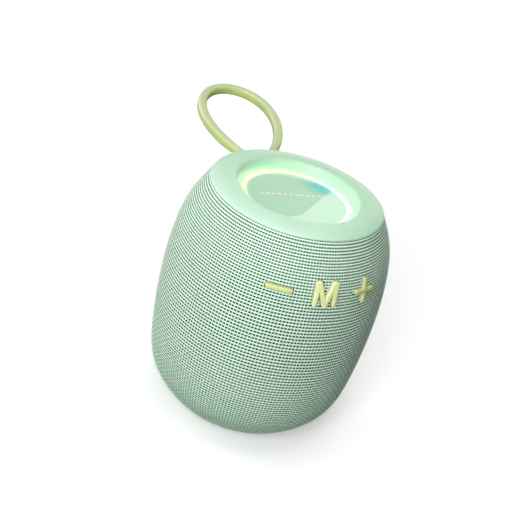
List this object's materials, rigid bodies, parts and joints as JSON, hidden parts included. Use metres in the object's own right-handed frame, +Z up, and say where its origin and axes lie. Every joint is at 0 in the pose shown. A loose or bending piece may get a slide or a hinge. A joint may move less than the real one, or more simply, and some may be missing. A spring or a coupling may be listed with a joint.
{
  "type": "portable shower speaker",
  "caption": "Barrel-shaped fabric-covered portable speaker with a lit recessed top, three raised keys and a soft hanging loop.",
  "frame": {"origin": "centre of the flat underside of the rubber foot", "axes": "+Z up along the body's axis, -Y towards the middle key, +Y towards the hanging loop and the charging port, +X towards the plus key"},
  "size_m": [0.08, 0.1267, 0.0891],
  "materials": {
    "mint_fabric": "open plain weave of mint yarn over dark green, matt",
    "dark_shell": "moulded, matt",
    "mint_plastic": "satin moulded",
    "light_diffuser": "milky, lit from behind",
    "mint_gloss": "polished",
    "circuit_board": "solder mask",
    "led_resin": "clear resin",
    "foot_rubber": "matt rubber",
    "plated_steel": "zinc plated",
    "black_plastic": "moulded, matt",
    "black_foam": "soft foam rubber",
    "ferrite": "sintered, matt",
    "cone_pulp": "pressed pulp",
    "copper": "enamelled copper wire",
    "spider_cloth": "resin dipped cloth",
    "black_rubber": "satin rubber",
    "chip_resin": "epoxy",
    "cell_wrap": "foil pouch with printed film",
    "mint_rubber": "satin rubber",
    "lime_silicone": "satin silicone",
    "key_silicone": "satin silicone",
    "wire_jacket": "smooth insulation"
  },
  "bodies": {
    "housing": {"fabric_sleeve": "mint_fabric", "grille_shell": "dark_shell", "top_cap": "mint_plastic", "light_ring": "light_diffuser", "top_disc": "mint_gloss", "led_board": "circuit_board", "base_cover": "mint_plastic", "foot_pad": "foot_rubber", "cabinet_front": "black_plastic", "cabinet_rear": "black_plastic", "cabinet_gasket": "black_foam", "driver_basket": "plated_steel", "driver_top_plate": "plated_steel", "driver_magnet": "ferrite", "driver_yoke": "plated_steel", "driver_spider": "spider_cloth", "driver_surround": "black_rubber", "driver_gasket": "black_foam", "radiator_frame": "black_plastic", "radiator_surround": "black_rubber", "main_board": "circuit_board", "usb_c_port": "plated_steel", "processor_chip": "chip_resin", "amplifier_chip": "chip_resin", "microphone": "plated_steel", "battery_cell": "cell_wrap", "battery_cradle": "black_plastic", "key_board": "circuit_board", "strap_anchor": "mint_plastic", "battery_cable": "wire_jacket", "speaker_cable": "wire_jacket", "signal_cable": "wire_jacket", "led_1": "led_resin", "led_2": "led_resin", "led_3": "led_resin", "led_4": "led_resin", "led_5": "led_resin", "led_6": "led_resin", "base_screw_1": "plated_steel", "base_screw_2": "plated_steel", "base_screw_3": "plated_steel", "driver_screw_1": "plated_steel", "driver_screw_2": "plated_steel", "driver_screw_3": "plated_steel", "driver_screw_4": "plated_steel", "minus_switch": "plated_steel", "mode_switch": "plated_steel", "plus_switch": "plated_steel"},
    "minus_key": {"minus_key": "key_silicone", "minus_plunger": "chip_resin"},
    "mode_key": {"mode_key": "key_silicone", "mode_plunger": "chip_resin"},
    "plus_key": {"plus_key": "key_silicone", "plus_plunger": "chip_resin"},
    "strap": {"strap_loop": "lime_silicone"},
    "port_cover": {"port_cover": "mint_rubber"},
    "driver_cone": {"driver_cone": "cone_pulp", "driver_dust_cap": "cone_pulp", "driver_voice_coil": "copper"},
    "radiator": {"radiator_plate": "plated_steel"}
  },
  "joints": [
    {"name": "minus_key_press", "type": "slide", "parent": "housing", "child": "minus_key", "axis": [0.3971, 0.9178, 0], "range_m": [0, 0.0006], "stiffness_N_per_m": 100},
    {"name": "mode_key_press", "type": "slide", "parent": "housing", "child": "mode_key", "axis": [-0.0113, 0.9999, 0], "range_m": [0, 0.0006], "stiffness_N_per_m": 100},
    {"name": "plus_key_press", "type": "slide", "parent": "housing", "child": "plus_key", "axis": [-0.4179, 0.9085, 0], "range_m": [0, 0.0006], "stiffness_N_per_m": 100},
    {"name": "strap_swing", "type": "hinge", "parent": "housing", "child": "strap", "pos_m": [0, 0.0384, 0.079], "axis": [1, 0, 0], "range_deg": [-80, 85]},
    {"name": "port_cover_hinge", "type": "hinge", "parent": "housing", "child": "port_cover", "pos_m": [0, 0.03424, 0.0091], "axis": [-1, 0, 0], "range_deg": [0, 110]},
    {"name": "driver_cone_travel", "type": "slide", "parent": "housing", "child": "driver_cone", "axis": [0, -1, 0], "range_m": [-0.0015, 0.0015], "stiffness_N_per_m": 100, "deforming": ["driver_surround", "driver_spider"]},
    {"name": "radiator_travel", "type": "slide", "parent": "housing", "child": "radiator", "axis": [0, 1, 0], "range_m": [-0.002, 0.002], "stiffness_N_per_m": 300, "deforming": ["radiator_surround"]}
  ]
}
